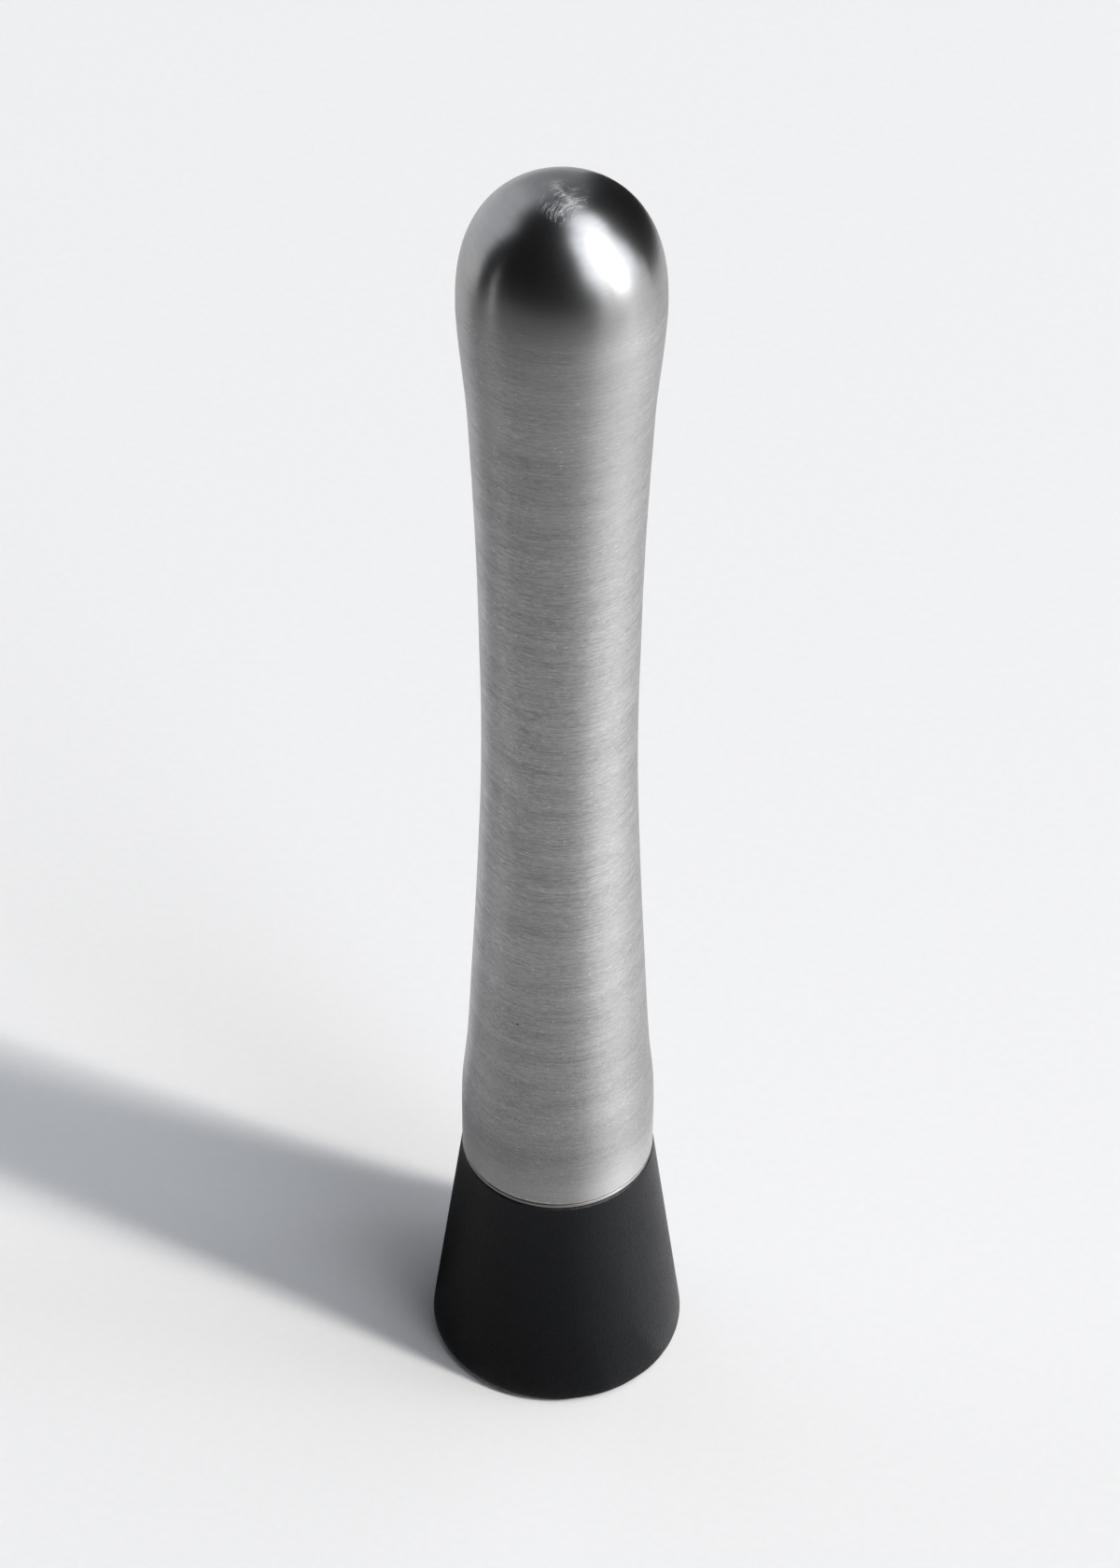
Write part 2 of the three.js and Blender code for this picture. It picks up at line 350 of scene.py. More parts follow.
def thread_radius(angle, height):
    """Trapezoid thread: x is the distance from a crest in pitches, and r falls along a flank to the root."""
    x = np.abs((height / PITCH - angle / (2 * np.pi) + 0.5) % 1 - 0.5)
    fall = np.clip((x - CREST_SHARE / 2) / (0.5 - CREST_SHARE / 2 - ROOT_SHARE / 2), 0, 1)
    return CREST_RADIUS - (CREST_RADIUS - ROOT_RADIUS) * fall


def soft_step(low, high, value):
    """Smooth rise from 0 at low to 1 at high: 3 t^2 - 2 t^3."""
    t = np.clip((value - low) / (high - low), 0, 1)
    return t * t * (3 - 2 * t)


print(f"thread of {PITCH} mm pitch, {CREST_RADIUS - ROOT_RADIUS:.2f} mm deep")

# %% Threaded stud
stud_low, stud_high = corners_of("threaded_stud")
STUD_TIP, STUD_TOP = stud_low[2], stud_high[2]
THREAD_END, SHANK_START = PLUG_BASE - 0.3, PLUG_BASE - 0.1
THREAD_ROWS, SHANK_ROWS, STUD_STEPS = 220, 8, 72
STUD_POINT, POINT_SLOPE = 1.0, 1.1
thread_levels = np.linspace(STUD_TIP, THREAD_END, THREAD_ROWS)
shank_levels = np.linspace(SHANK_START, STUD_TOP, SHANK_ROWS)
stud_height = np.concatenate([thread_levels, shank_levels])[:, None]
stud_thread = thread_radius(angles_round(STUD_STEPS), stud_height)
plain = soft_step(THREAD_END - PITCH, THREAD_END, stud_height)
stud_body = stud_thread * (1 - plain) + STUD_RADIUS * plain
stud_cone = STUD_RADIUS - STUD_POINT + (stud_height - STUD_TIP) * POINT_SLOPE
threaded_stud = ring_piece(
    "threaded_stud_m8", rings_of(np.minimum(stud_body, stud_cone), stud_height, STUD_STEPS),
    np.array([pole(STUD_TIP), pole(STUD_TOP)]),
)

# %% [markdown]
# ## Brass insert
# A brass insert is moulded into the head to take the stud. Plastic threads alone would strip. Its outside
# is knurled so that the plastic grips it. The knurl could be a pattern of cut grooves, but the product of
# two wave sets that cross gives it in one line. The bore is the stud's thread with a clearance, so inside
# and outside are two formulas on the same rings.

# %% Knurled outside and threaded bore
insert_low, insert_high = corners_of("thread_insert")
INSERT_RADIUS, INSERT_BASE, INSERT_TOP = insert_high[0], insert_low[2], insert_high[2]
GROOVE_DEPTH, GROOVE_WIDTH, GROOVE_EASE = 0.6, 3.0, 0.2
KNURL_WAVES, KNURL_DEPTH, KNURL_LEAN = 24, 0.28, 2.6
THREAD_GAP, LEAD_IN, INSERT_CHAMFER = 0.08, 0.3, 0.05
OUTER_ROWS, BORE_ROWS, INSERT_STEPS = 70, 190, 144
knurl_turn = KNURL_WAVES / 2 * angles_round(INSERT_STEPS)
outer_height = np.linspace(INSERT_BASE + INSERT_CHAMFER, INSERT_TOP - INSERT_CHAMFER, OUTER_ROWS)[:, None]
knurl_shift = KNURL_LEAN * outer_height
waves = np.abs(np.cos(knurl_turn + knurl_shift)) * np.abs(np.cos(knurl_turn - knurl_shift))
off_middle = np.abs(outer_height - (INSERT_BASE + INSERT_TOP) / 2)
in_groove = 1 - soft_step(GROOVE_WIDTH / 2 - GROOVE_EASE, GROOVE_WIDTH / 2, off_middle)
knurled = INSERT_RADIUS - KNURL_DEPTH * (1 - waves)
outer_radius = knurled * (1 - in_groove) + (INSERT_RADIUS - GROOVE_DEPTH) * in_groove
bore_height = np.linspace(INSERT_TOP, INSERT_BASE, BORE_ROWS)[:, None]
from_end = np.minimum(INSERT_TOP - bore_height, bore_height - INSERT_BASE)
lead_cone = CREST_RADIUS + THREAD_GAP + LEAD_IN - from_end
bore_thread = thread_radius(angles_round(INSERT_STEPS), bore_height) + THREAD_GAP
bore_radius = np.maximum(bore_thread, lead_cone)
print(f"insert bore: {bore_radius.min():.2f} to {bore_radius.max():.2f} mm in radius")

# %% Brass insert
end_radius = np.full((1, INSERT_STEPS), INSERT_RADIUS - KNURL_DEPTH - INSERT_CHAMFER)
insert_rings = np.concatenate([
    rings_of(end_radius, INSERT_BASE, INSERT_STEPS), rings_of(outer_radius, outer_height, INSERT_STEPS),
    rings_of(end_radius, INSERT_TOP, INSERT_STEPS), rings_of(bore_radius, bore_height, INSERT_STEPS),
])
thread_insert = ring_piece("knurled_brass_insert", insert_rings)

# %% [markdown]
# ## Seal washer
# A rubber washer sits round the stud and keeps juice out of the socket. A torus is too round for it: a cut
# washer has flat faces and barely softened edges, so it is a rounded rectangle turned about the axis, with
# its outer side swollen a little where the screw squeezes it.

# %% Seal washer
washer_low, washer_high = corners_of("seal_washer")
WASHER_RADIUS, WASHER_BASE, WASHER_TOP = washer_high[0], washer_low[2], washer_high[2]
STUD_CLEARANCE = 0.7
SWELL, WASHER_EASE, WASHER_STEPS = 0.12, 0.35, 128
washer_bore = STUD_RADIUS + STUD_CLEARANCE
washer_profile = eased([
    (washer_bore, WASHER_BASE), (WASHER_RADIUS - SWELL, WASHER_BASE),
    (WASHER_RADIUS, (WASHER_BASE + WASHER_TOP) / 2), (WASHER_RADIUS - SWELL, WASHER_TOP),
    (washer_bore, WASHER_TOP),
], WASHER_EASE, closed=True)
seal_washer = ring_piece("rubber_seal_washer", turned(washer_profile, WASHER_STEPS))

# %% [markdown]
# ## Head
# The head is moulded in black nylon: a cone with a softly rounded lower edge and a working face of square
# teeth. Grooves cut by a modifier would leave knife edges that no moulding has. So the face is a height
# field. Each of two crossed sets of grooves gives a height, the larger one counts, and a smooth maximum
# rounds every edge. The same maximum joins the face to the rounded rim, so the grooves run out in shallow
# nicks.

# %% Height of the toothed face
TOOTH_PITCH, TOOTH_FLAT, TOOTH_DEPTH, TOOTH_TURN = 7.7, 3.3, 1.0, math.radians(25)
TOOTH_EASE = 0.14
# A little over 1, because rounding lowers the middle of a groove
GROOVE_PEAK = 1.06


def smooth_max(a, b, ease):
    """The larger of two heights, with a parabola of the given width in place of the crease between them."""
    overlap = np.maximum(ease - np.abs(a - b), 0)
    return np.maximum(a, b) + overlap**2 / (4 * ease)


def groove_height(across):
    """V grooves half a pitch either side of the axis: height falls evenly from a groove's middle outwards."""
    away = np.abs(across % TOOTH_PITCH - TOOTH_PITCH / 2)
    rounded = np.sqrt(away**2 + TOOTH_EASE**2)
    return TOOTH_DEPTH * (GROOVE_PEAK - rounded / ((TOOTH_PITCH - TOOTH_FLAT) / 2))


def tooth_height(x, y):
    """Height of the working face: the larger of two groove heights, one a right angle from the other."""
    c, s = math.cos(TOOTH_TURN), math.sin(TOOTH_TURN)
    crossed = smooth_max(groove_height(x * c + y * s), groove_height(y * c - x * s), TOOTH_EASE)
    return smooth_max(crossed, 0 * crossed, TOOTH_EASE)


print(f"teeth: {TOOTH_FLAT} mm flats every {TOOTH_PITCH} mm, {TOOTH_DEPTH} mm deep")

# %% Profile of the head
HEAD_TOP = corners_of("muddling_head")[1][2]
# Where the cone's side would meet the floor if its lower edge were sharp
HEAD_BASE_RADIUS = 20.158
HEAD_TOP_RADIUS = FOOT_RADIUS + 0.1
HEAD_EDGE, HEAD_RIM, SIDE_SHARE = 1.3, 0.4, 0.9
SOCKET_GAP, SEAT_GAP, WELL_DEPTH = 0.1, 0.05, 2.55
FACE_ROWS, EDGE_ROWS, SIDE_ROWS = 118, 30, 14
lean = math.atan2(HEAD_BASE_RADIUS - HEAD_TOP_RADIUS, HEAD_TOP)
edge_centre = HEAD_BASE_RADIUS - HEAD_EDGE * math.tan(math.pi / 4 + lean / 2)
edge_angle = np.linspace(-np.pi / 2, lean, EDGE_ROWS)
edge_arc = np.stack(
    [edge_centre + HEAD_EDGE * np.cos(edge_angle), HEAD_EDGE + HEAD_EDGE * np.sin(edge_angle)], axis=1
)
face_radius = np.linspace(0, edge_centre, FACE_ROWS)[1:-1]
face = np.stack([face_radius, 0 * face_radius], axis=1)
recess_radius, recess_floor = WASHER_RADIUS + SOCKET_GAP, WASHER_BASE - SEAT_GAP
socket_radius, socket_floor = INSERT_RADIUS + SOCKET_GAP, INSERT_BASE - SEAT_GAP
well_radius, well_floor = STUD_RADIUS + STUD_CLEARANCE, INSERT_BASE - WELL_DEPTH
side_end = edge_arc[-1] + (np.array([HEAD_TOP_RADIUS, HEAD_TOP]) - edge_arc[-1]) * SIDE_SHARE
top_profile = eased([
    side_end, (HEAD_TOP_RADIUS, HEAD_TOP), (recess_radius, HEAD_TOP), (recess_radius, recess_floor),
    (socket_radius, recess_floor), (socket_radius, socket_floor), (well_radius, socket_floor),
    (well_radius, well_floor), (0, well_floor),
], HEAD_RIM)
side = edge_arc[-1] + (side_end - edge_arc[-1]) * np.linspace(0, 1, SIDE_ROWS)[1:-1, None]
head_profile = np.concatenate([face, edge_arc, side, top_profile[:-1]])
print(f"head profile: {len(head_profile)} points, the side leans {math.degrees(lean):.1f} degrees")

# %% Muddling head
HEAD_STEPS = 480
head_rings = turned(head_profile, HEAD_STEPS)
underside = len(face) + len(edge_arc)
blank = head_rings[:underside, :, 2]
teeth = tooth_height(head_rings[:underside, :, 0], head_rings[:underside, :, 1])
head_rings[:underside, :, 2] = smooth_max(blank, teeth, TOOTH_EASE)
muddling_head = ring_piece("toothed_head", head_rings, np.array([pole(0.0), pole(well_floor)]))

# %% [markdown]
# ## Put the pieces on their bodies
# The head and its insert stay put, the washer is lifted by the screw, and the handle with its plug and stud
# turns as it rises. Parenting by hand could move them too, but an empty for each body carries all its pieces.
# So each new piece rides on its body's empty, and the measured piece it takes the place of is hidden.

# %% Ride and replace
PLACES = [
    (muddling_head, "head", "muddling_head", "black_nylon"),
    (thread_insert, "head", "thread_insert", "insert_brass"),
    (seal_washer, "washer", "seal_washer", "washer_rubber"),
    (threaded_stud, "handle", "threaded_stud", "stud_steel"),
    (end_plug, "handle", "end_plug", "plug_steel"),
    (handle_shell, "handle", "handle_shell", "handle_steel"),
]
for piece, body, node, slot in PLACES:
    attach(piece, body)
    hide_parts(node)
    print(f"{piece.name} rides on {body}")

# %% [markdown]
# ## Patterns that several finishes share
# Brush strokes, moulded grain, stray flecks and edge wear each appear on more than one material. Their nodes
# could be copied into each, but then a change would have to be made in every copy. So each pattern is a node
# group with its own inputs. A group only puts out a value that changes over the surface, and the shader that
# uses it stays in the material. All of them read Object coordinates, so nothing slides when a piece moves.

# %% Node helpers
def add(tree, kind, inputs=None, **settings):
    """New node with its settings, and its input sockets linked or given plain values."""
    made = tree.nodes.new(kind)
    for name, value in settings.items():
        setattr(made, name, value)
    for name, value in (inputs or {}).items():
        if isinstance(value, bpy.types.NodeSocket):
            tree.links.new(value, made.inputs[name])
        else:
            made.inputs[name].default_value = value
    return made


def math_node(tree, operation, a, b=0.0, c=0.0):
    """Result of a Math node."""
    return add(tree, "ShaderNodeMath", {0: a, 1: b, 2: c}, operation=operation).outputs[0]


def vector_node(tree, operation, inputs, output=0):
    """Result of a Vector Math node."""
    return add(tree, "ShaderNodeVectorMath", inputs, operation=operation).outputs[output]


def noise(tree, place, detail, roughness):
    """Noise that varies over a unit of the given place."""
    inputs = {"Vector": place, "Scale": 1.0, "Detail": detail, "Roughness": roughness}
    return add(tree, "ShaderNodeTexNoise", inputs).outputs[0]


def ramp(tree, value, low, high, to_low, to_high):
    """Value carried from one range to another along a smooth step."""
    return add(
        tree, "ShaderNodeMapRange",
        {"Value": value, "From Min": low, "From Max": high, "To Min": to_low, "To Max": to_high},
        interpolation_type="SMOOTHSTEP",
    ).outputs[0]


print("helpers for single nodes")

# %% Group helpers
def new_group(name, inputs, output):
    """Empty shader group with a Place vector, float inputs and one output, and the sockets at its ends."""
    group = bpy.data.node_groups.new(name, "ShaderNodeTree")
    group.interface.new_socket(name="Place", in_out="INPUT", socket_type="NodeSocketVector")
    for socket_name, value in inputs.items():
        socket = group.interface.new_socket(name=socket_name, in_out="INPUT", socket_type="NodeSocketFloat")
        socket.default_value = value
    group.interface.new_socket(name=output, in_out="OUTPUT", socket_type="NodeSocketFloat")
    return group, group.nodes.new("NodeGroupInput").outputs, group.nodes.new("NodeGroupOutput").inputs


def drawn_out(tree, place, ins):
    """Place made denser by Across up the axis and by Along in the two level directions."""
    density = add(tree, "ShaderNodeCombineXYZ", {"X": ins["Along"], "Y": ins["Along"], "Z": ins["Across"]})
    return vector_node(tree, "MULTIPLY", {0: place, 1: density.outputs[0]})


def use(tree, group, place, **inputs):
    """Output of a group placed in a material, with its own values."""
    made = add(tree, "ShaderNodeGroup", node_tree=group)
    tree.links.new(place, made.inputs["Place"])
    for name, value in inputs.items():
        made.inputs[name.replace("_", " ").capitalize()].default_value = value
    return made.outputs[0]


print("helpers for node groups")

# %% Group: brush strokes
brush_strokes, ins, outs = new_group(
    "brush_strokes", {"Across": 2500.0, "Along": 90.0, "Slant": 0.0, "Detail": 2.0}, "Strokes"
)
leaned = add(
    brush_strokes, "ShaderNodeVectorRotate", {"Vector": ins["Place"], "Angle": ins["Slant"]},
    rotation_type="Y_AXIS",
).outputs[0]
stroke_noise = noise(brush_strokes, drawn_out(brush_strokes, leaned, ins), ins["Detail"], 0.6)
brush_strokes.links.new(ramp(brush_strokes, stroke_noise, 0.28, 0.72, 0.0, 1.0), outs["Strokes"])
print("group brush_strokes: noise drawn out round the axis")

# %% Group: moulded grain
moulded_grain, ins, outs = new_group("moulded_grain", {"Grains": 2200.0}, "Grain")
grain_place = vector_node(moulded_grain, "SCALE", {0: ins["Place"], "Scale": ins["Grains"]})
grain_noise = noise(moulded_grain, grain_place, 3.0, 0.55)
moulded_grain.links.new(ramp(moulded_grain, grain_noise, 0.3, 0.7, 0.0, 1.0), outs["Grain"])
print("group moulded_grain: even fine noise")

# %% Group: stray flecks
stray_flecks, ins, outs = new_group(
    "stray_flecks", {"Across": 700.0, "Along": 300.0, "Share": 0.1, "Size": 0.2}, "Flecks"
)
fleck_place = drawn_out(stray_flecks, ins["Place"], ins)
cells = add(stray_flecks, "ShaderNodeTexVoronoi", {"Vector": fleck_place, "Scale": 1.0})
cell_draw = add(stray_flecks, "ShaderNodeSeparateColor", {0: cells.outputs["Color"]})
drawn = math_node(stray_flecks, "LESS_THAN", cell_draw.outputs[0], ins["Share"])
fleck_share = math_node(stray_flecks, "DIVIDE", cells.outputs["Distance"], ins["Size"])
fleck = math_node(stray_flecks, "MAXIMUM", math_node(stray_flecks, "SUBTRACT", 1.0, fleck_share), 0.0)
stray_flecks.links.new(math_node(stray_flecks, "MULTIPLY", drawn, fleck), outs["Flecks"])
print("group stray_flecks: a cone in a few cells")

# %% Group: edge wear
edge_wear, ins, outs = new_group("edge_wear", {"Edge": 0.0, "Reach": 0.001, "Patches": 800.0}, "Wear")
wear_height = add(edge_wear, "ShaderNodeSeparateXYZ", {0: ins["Place"]}).outputs["Z"]
off_edge = math_node(edge_wear, "ABSOLUTE", math_node(edge_wear, "SUBTRACT", wear_height, ins["Edge"]))
off_share = math_node(edge_wear, "DIVIDE", off_edge, ins["Reach"])
wear_place = vector_node(edge_wear, "SCALE", {0: ins["Place"], "Scale": ins["Patches"]})
wear_noise = noise(edge_wear, wear_place, 3.0, 0.6)
uneven = math_node(edge_wear, "SUBTRACT", math_node(edge_wear, "MULTIPLY", wear_noise, 2.0), off_share)
edge_wear.links.new(ramp(edge_wear, uneven, 0.2, 1.0, 0.0, 1.0), outs["Wear"])
print("group edge_wear: patches that fade away from an edge")

# %% [markdown]
# ## Brushed steel
# The grip was brushed as it turned, so its scratches run round the axis and a highlight spreads along the
# handle. Grooves far finer than a pixel can't be modelled one by one, so anisotropy in the shader gives
# that spread, with its direction taken from the UV map. Noise drawn out round the axis varies the colour, the
# roughness and a faint bump, in straight, slanted and long layers, because the brush never ran quite true.

# %% Material helpers
def new_material(name):
    """Material with its Principled shader and the Object coordinates of its piece."""
    material = bpy.data.materials.new(name)
    material.use_nodes = True
    tree = material.node_tree
    tree.nodes.clear()
    shader = add(tree, "ShaderNodeBsdfPrincipled")
    add(tree, "ShaderNodeOutputMaterial", {"Surface": shader.outputs[0]})
    place = add(tree, "ShaderNodeTexCoord").outputs["Object"]
    return material, tree, shader, place


def mix_colour(tree, factor, first, second):
    """Colour between two colours, each a socket or plain numbers."""
    made = add(tree, "ShaderNodeMix", {0: factor}, data_type="RGBA")
    for socket, colour in ((6, first), (7, second)):
        if isinstance(colour, bpy.types.NodeSocket):
            tree.links.new(colour, made.inputs[socket])
        else:
            made.inputs[socket].default_value = (*colour, 1)
    return made.outputs[2]


def brushed(tree, shader, anisotropy):
    """Highlights drawn out along the axis: the tangent runs round it, and a quarter turn lays it along."""
    tangent = add(tree, "ShaderNodeTangent", direction_type="UV_MAP", uv_map="around_and_along")
    tree.links.new(tangent.outputs[0], shader.inputs["Tangent"])
    shader.inputs["Anisotropic"].default_value = anisotropy
    shader.inputs["Anisotropic Rotation"].default_value = 0.25
    shader.inputs["Metallic"].default_value = 1.0


def add_bump(tree, shader, relief, strength, depth):
    """Bump on a shader's normal, with its depth in metres."""
    bump = add(tree, "ShaderNodeBump", {"Height": relief, "Strength": strength, "Distance": depth})
    tree.links.new(bump.outputs[0], shader.inputs["Normal"])


def weighted(tree, *terms):
    """Sum of values, each times its weight."""
    total = 0.0
    for value, weight in terms:
        total = math_node(tree, "MULTIPLY_ADD", value, weight, total)
    return total


def between(tree, share, low, high):
    """Value that goes from low to high as the share goes from 0 to 1."""
    low_part = math_node(tree, "MULTIPLY", low, math_node(tree, "SUBTRACT", 1.0, share))
    return math_node(tree, "MULTIPLY_ADD", high, share, low_part)


print("helpers for materials")

# %% Handle steel: strokes of the brush
handle_steel, tree, shader, place = new_material("handle_steel")
brushed(tree, shader, 0.62)
straight = use(tree, brush_strokes, place, across=5200, along=800, slant=0.0, detail=2)
right_slant = use(tree, brush_strokes, place, across=4600, along=800, slant=0.022, detail=2)
left_slant = use(tree, brush_strokes, place, across=4400, along=750, slant=-0.018, detail=2)
long_lines = use(tree, brush_strokes, place, across=5600, along=110, slant=0.006, detail=2)
bands = use(tree, brush_strokes, place, across=420, along=60, slant=0.02, detail=2)
mottle = use(tree, moulded_grain, place, grains=3000)
speckle = use(tree, moulded_grain, place, grains=4600)
flecks_and_glints = use(tree, stray_flecks, place, across=3600, along=1300, share=0.04, size=0.3)
strokes = weighted(
    tree, (straight, 0.3), (right_slant, 0.14), (left_slant, 0.14), (long_lines, 0.27), (mottle, 0.15)
)
print("handle_steel: four layers of strokes, broad bands, mottle and pale flecks")

# %% Handle steel: tone of the grip
FOOT_FADE, CALM_FADE = (55 * MM, 105 * MM), (150 * MM, 205 * MM)
STROKE_DARK, STROKE_LIGHT, CALM_GREY = (0.247, 0.244, 0.247), (0.789, 0.779, 0.786), (0.473, 0.467, 0.472)
height = add(tree, "ShaderNodeSeparateXYZ", {0: place}).outputs["Z"]
near_foot = ramp(tree, height, *FOOT_FADE, 1.0, 0.0)
speckle_share = math_node(tree, "MULTIPLY", near_foot, 0.35)
speckle_change = math_node(tree, "SUBTRACT", speckle, strokes)
speckled = math_node(tree, "MULTIPLY_ADD", speckle_change, speckle_share, strokes)
# The -0.05 of near_foot paints the grip a little darker low down: painted shade that dims the highlight near
# the foot.
tone = weighted(tree, (speckled, 0.88), (bands, 0.12), (near_foot, -0.05))
calm = ramp(tree, height, *CALM_FADE, 0.0, 0.4)
streaky = mix_colour(tree, tone, STROKE_DARK, STROKE_LIGHT)
calmed = mix_colour(tree, calm, streaky, CALM_GREY)
print("grip tone: speckled near the foot, calmer under the dome")

# %% Handle steel: flecks and wear with painted glints, a painted floor reflection at the foot, one pit
FLECK_AND_GLINT_PALE, FLOOR_REFLECTION_PALE, WORN_AND_GLINTING_STEEL = (0.97, 0.96, 0.965), (0.9, 0.893, 0.887), (0.92, 0.913, 0.907)
PIT_DARK = (0.06, 0.06, 0.06)
PIT_PLACE = Vector((-6.11, -11.74, 78.76)) * MM
# Pale flecks of fresh metal that also stand in for glints: partly painted glints.
with_flecks_and_glints = mix_colour(tree, ramp(tree, flecks_and_glints, 0.0, 0.5, 0.0, 0.8), calmed, FLECK_AND_GLINT_PALE)
# A paler band at the bottom of the foot: a painted reflection of the bright floor beside the base.
painted_floor_reflection = ramp(tree, height, 43 * MM, 52 * MM, 0.42, 0.0)
with_floor_reflection = mix_colour(tree, painted_floor_reflection, with_flecks_and_glints, FLOOR_REFLECTION_PALE)
# The worn foot edge is paler: partly real wear, partly painted glints along the rim.
foot_wear_and_glints = use(tree, edge_wear, place, edge=HANDLE_BASE * MM, reach=0.7 * MM, patches=1100)
worn = mix_colour(tree, foot_wear_and_glints, with_floor_reflection, WORN_AND_GLINTING_STEEL)
to_pit = vector_node(tree, "DISTANCE", {0: place, 1: PIT_PLACE}, "Value")
pit = ramp(tree, to_pit, 0.08 * MM, 0.24 * MM, 1.0, 0.0)
grip_colour = mix_colour(tree, pit, worn, PIT_DARK)
polish = weighted(tree, (near_foot, 0.03), (flecks_and_glints, 0.1), (foot_wear_and_glints, 0.12))
grip_rough = math_node(tree, "SUBTRACT", ramp(tree, tone, 0.2, 0.8, 0.49, 0.42), polish)
grip_relief = math_node(tree, "MULTIPLY", strokes, 0.13)
print("grip: colour, roughness and relief ready")

# %% [markdown]
# ## Polished dome
# Above the grip the same steel was polished on the lathe, and the closing weld at the apex was ground off by
# hand in short arcs. A second material on the upper faces could hold that, but it would end in a hard line.
# So it stays one material: the dome's colour, roughness and relief are worked out beside the grip's, and a
# streaky mask of the height passes from one to the other.

# %% Handle steel: ground patch at the apex
PATCH_CENTRE = Vector((-0.2, -1.3, 0)) * MM
SWING_CENTRE = Vector((3.4, -5.6, 0)) * MM
SWING_RADIUS = 5 * MM
haze = use(tree, moulded_grain, place, grains=160)
flat_place = vector_node(tree, "MULTIPLY", {0: place, 1: (1, 1, 0)})
from_patch = vector_node(tree, "DISTANCE", {0: flat_place, 1: PATCH_CENTRE}, "Value")
patchy = weighted(tree, (haze, 2.4 * MM), (from_patch, 1.0))
ground = ramp(tree, patchy, 3.0 * MM, 6.8 * MM, 1.0, 0.0)
from_swing = vector_node(tree, "SUBTRACT", {0: flat_place, 1: SWING_CENTRE})
swing_parts = add(tree, "ShaderNodeSeparateXYZ", {0: from_swing}).outputs
swing_turn = math_node(tree, "ARCTAN2", swing_parts["Y"], swing_parts["X"])
along_arc = math_node(tree, "MULTIPLY", swing_turn, SWING_RADIUS)
swing = vector_node(tree, "LENGTH", {0: from_swing}, "Value")
arc_place = add(tree, "ShaderNodeCombineXYZ", {"X": along_arc, "Z": swing}).outputs[0]
arcs = use(tree, brush_strokes, arc_place, across=4600, along=480, slant=0.0, detail=3)
hand_strokes = ramp(tree, use(tree, moulded_grain, place, grains=650), 0.0, 0.6, 0.1, 1.0)
worked = math_node(tree, "MULTIPLY", ground, hand_strokes)
scratches = math_node(tree, "MULTIPLY", ramp(tree, arcs, 0.4, 0.95, 0.0, 1.0), worked)
print("ground patch: arcs round a point beside the apex")

# %% Handle steel: polished dome
DOME_DARK, DOME_LIGHT, SCRATCH_PALE = (0.38, 0.377, 0.375), (0.46, 0.457, 0.455), (0.84, 0.84, 0.84)
# Where roughness falls through about 0.275 the render's noise filter draws a dark line, so it stays above
DOME_ROUGH = 0.297
spin_lines = use(tree, brush_strokes, place, across=3000, along=260, slant=0.03, detail=3)
dome_tone = weighted(tree, (spin_lines, 0.5), (haze, 0.5))
spun_colour = mix_colour(tree, dome_tone, DOME_DARK, DOME_LIGHT)
dome_colour = mix_colour(tree, scratches, spun_colour, SCRATCH_PALE)
rough_change = weighted(tree, (spin_lines, -0.015), (ground, 0.12), (scratches, -0.06))
dome_rough = math_node(tree, "ADD", rough_change, DOME_ROUGH)
dome_relief = weighted(tree, (spin_lines, 0.03), (scratches, 1.8))
print("dome: polished, with fine lines from the lathe")

# %% Handle steel: grip and dome joined
POLISH_LINE, FADE_BELOW, FADE_ABOVE = 215.4 * MM, 8 * MM, 1.5 * MM
STREAK = 0.6 * MM
streaked_height = weighted(tree, (spin_lines, STREAK), (height, 1.0))
polished = ramp(tree, streaked_height, POLISH_LINE - FADE_BELOW, POLISH_LINE + FADE_ABOVE, 0.0, 1.0)
tree.links.new(mix_colour(tree, polished, grip_colour, dome_colour), shader.inputs["Base Color"])
tree.links.new(between(tree, polished, grip_rough, dome_rough), shader.inputs["Roughness"])
add_bump(tree, shader, between(tree, polished, grip_relief, dome_relief), 0.3, 0.06 * MM)
print(f"handle_steel: brushed grip below {POLISH_LINE / MM:.1f} mm, polished dome above")

# %% [markdown]
# ## Plug, stud and brass
# The plug is turned, the stud's thread is rolled, and the brass has tarnished a little. Each could be one
# flat colour, because they hardly show while the handle is screwed in. But all three come into view when it
# is screwed off, so each takes a pattern that moves its colour and its roughness together.

# %% Plug steel, stud steel and brass
def plain_metal(name, anisotropy, group, pattern, colours, roughness):
    """Metal whose colour and roughness each run between two values by one pattern."""
    material, tree, shader, place = new_material(name)
    brushed(tree, shader, anisotropy)
    tone = use(tree, group, place, **pattern)
    tree.links.new(mix_colour(tree, tone, *colours), shader.inputs["Base Color"])
    tree.links.new(ramp(tree, tone, 0.0, 1.0, *roughness), shader.inputs["Roughness"])
    print(f"{name}: roughness {roughness[0]} to {roughness[1]}")
    return material


TURNED_LINES = {"across": 5200, "along": 120, "slant": 0.0, "detail": 2}
ROLLED_LINES = {"across": 6000, "along": 300, "slant": 0.05, "detail": 2}
TARNISH = {"grains": 450}
plug_steel = plain_metal(
    "plug_steel", 0.6, brush_strokes, TURNED_LINES, [(0.4, 0.39, 0.374), (0.55, 0.537, 0.517)], (0.5, 0.4)
)
stud_steel = plain_metal(
    "stud_steel", 0.4, brush_strokes, ROLLED_LINES, [(0.45, 0.445, 0.44), (0.6, 0.595, 0.59)], (0.36, 0.29)
)
insert_brass = plain_metal(
    "insert_brass", 0.3, moulded_grain, TARNISH, [(0.5, 0.31, 0.09), (0.66, 0.45, 0.16)], (0.42, 0.28)
)

